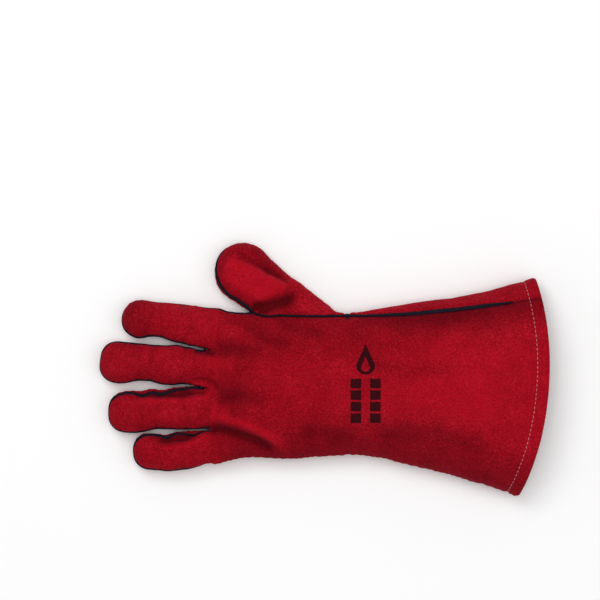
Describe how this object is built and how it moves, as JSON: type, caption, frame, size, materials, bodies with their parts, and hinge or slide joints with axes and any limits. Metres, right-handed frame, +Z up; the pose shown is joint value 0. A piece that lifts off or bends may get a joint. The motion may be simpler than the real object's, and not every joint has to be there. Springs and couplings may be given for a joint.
{
  "type": "heat resistant glove",
  "caption": "Left-hand split-leather gauntlet with welted seams, a flared cuff and bending fingers, lying palm down.",
  "frame": {"origin": "on the surface that the glove lies on, under the centre of its bounding box", "axes": "+Z up through the back of the hand, +X towards the cuff's mouth, fingers towards -X, thumb on the +Y side"},
  "size_m": [0.3506, 0.1975, 0.0474],
  "materials": {
    "red_suede": "napped split leather",
    "dark_welt": "smooth",
    "fleece_lining": "soft fleece",
    "cotton_lining": "twill",
    "pale_thread": "twisted thread"
  },
  "bodies": {
    "hand": {"finger_base_welt": "dark_welt", "hand_back": "red_suede", "hand_lining": "fleece_lining", "hand_side_welt": "dark_welt", "palm": "red_suede", "thumb_gusset": "red_suede", "thumb_seam_welt": "dark_welt", "wrist_welt": "dark_welt"},
    "cuff": {"cuff_back": "red_suede", "cuff_front": "red_suede", "cuff_lining": "cotton_lining", "cuff_side_welt": "dark_welt", "cuff_thumb_welt": "dark_welt", "hem_fold": "red_suede", "hem_thread": "pale_thread"},
    "index_base": {"index_base_back": "red_suede", "index_base_front": "red_suede", "index_lining": "fleece_lining", "index_welt": "dark_welt"},
    "index_tip": {"index_tip_back": "red_suede", "index_tip_front": "red_suede"},
    "middle_base": {"middle_base_back": "red_suede", "middle_base_front": "red_suede", "middle_lining": "fleece_lining", "middle_welt": "dark_welt"},
    "middle_tip": {"middle_tip_back": "red_suede", "middle_tip_front": "red_suede"},
    "ring_base": {"ring_base_back": "red_suede", "ring_base_front": "red_suede", "ring_lining": "fleece_lining", "ring_welt": "dark_welt"},
    "ring_tip": {"ring_tip_back": "red_suede", "ring_tip_front": "red_suede"},
    "little_base": {"little_base_back": "red_suede", "little_base_front": "red_suede", "little_lining": "fleece_lining", "little_welt": "dark_welt"},
    "little_tip": {"little_tip_back": "red_suede", "little_tip_front": "red_suede"},
    "thumb_base": {"thumb_base_back": "red_suede", "thumb_base_front": "red_suede", "thumb_lining": "fleece_lining", "thumb_welt": "dark_welt"},
    "thumb_tip": {"thumb_tip_back": "red_suede", "thumb_tip_front": "red_suede"}
  },
  "joints": [
    {"name": "wrist_bend", "type": "hinge", "parent": "hand", "child": "cuff", "pos_m": [0.0184, -0.0118, 0.017], "axis": [0, 1, 0], "range_deg": [-30, 40], "stiffness_Nm_per_rad": 0.12, "deforming": ["wrist_welt"]},
    {"name": "index_base_bend", "type": "hinge", "parent": "hand", "child": "index_base", "pos_m": [-0.107, 0.0334, 0.009], "axis": [-0.1392, -0.9903, 0], "range_deg": [-15, 60], "stiffness_Nm_per_rad": 0.03, "deforming": ["index_lining", "index_welt"]},
    {"name": "index_tip_bend", "type": "hinge", "parent": "index_base", "child": "index_tip", "pos_m": [-0.13027, 0.03667, 0.009], "axis": [-0.1392, -0.9903, 0], "range_deg": [0, 60], "stiffness_Nm_per_rad": 0.02, "deforming": ["index_lining", "index_welt"]},
    {"name": "middle_base_bend", "type": "hinge", "parent": "hand", "child": "middle_base", "pos_m": [-0.107, -0.0002, 0.009], "axis": [-0.0958, -0.9954, 0], "range_deg": [-15, 60], "stiffness_Nm_per_rad": 0.03, "deforming": ["middle_lining", "middle_welt"]},
    {"name": "middle_tip_bend", "type": "hinge", "parent": "middle_base", "child": "middle_tip", "pos_m": [-0.13885, 0.00287, 0.009], "axis": [-0.0958, -0.9954, 0], "range_deg": [0, 60], "stiffness_Nm_per_rad": 0.02, "deforming": ["middle_lining", "middle_welt"]},
    {"name": "ring_base_bend", "type": "hinge", "parent": "hand", "child": "ring_base", "pos_m": [-0.107, -0.0325, 0.009], "axis": [-0.014, -0.9999, 0], "range_deg": [-15, 60], "stiffness_Nm_per_rad": 0.03, "deforming": ["ring_lining", "ring_welt"]},
    {"name": "ring_tip_bend", "type": "hinge", "parent": "ring_base", "child": "ring_tip", "pos_m": [-0.1365, -0.03209, 0.009], "axis": [-0.014, -0.9999, 0], "range_deg": [0, 60], "stiffness_Nm_per_rad": 0.02, "deforming": ["ring_lining", "ring_welt"]},
    {"name": "little_base_bend", "type": "hinge", "parent": "hand", "child": "little_base", "pos_m": [-0.107, -0.0638, 0.009], "axis": [0, -1, 0], "range_deg": [-15, 60], "stiffness_Nm_per_rad": 0.03, "deforming": ["little_lining", "little_welt"]},
    {"name": "little_tip_bend", "type": "hinge", "parent": "little_base", "child": "little_tip", "pos_m": [-0.1265, -0.0638, 0.009], "axis": [0, -1, 0], "range_deg": [0, 60], "stiffness_Nm_per_rad": 0.02, "deforming": ["little_lining", "little_welt"]},
    {"name": "thumb_base_bend", "type": "hinge", "parent": "hand", "child": "thumb_base", "pos_m": [-0.043, 0.0592, 0.009], "axis": [-0.6361, -0.7716, 0], "range_deg": [0, 45], "stiffness_Nm_per_rad": 0.03, "deforming": ["thumb_lining", "thumb_welt"]},
    {"name": "thumb_tip_bend", "type": "hinge", "parent": "thumb_base", "child": "thumb_tip", "pos_m": [-0.05843, 0.07192, 0.009], "axis": [-0.6361, -0.7716, 0], "range_deg": [0, 50], "stiffness_Nm_per_rad": 0.02, "deforming": ["thumb_lining", "thumb_welt"]}
  ]
}
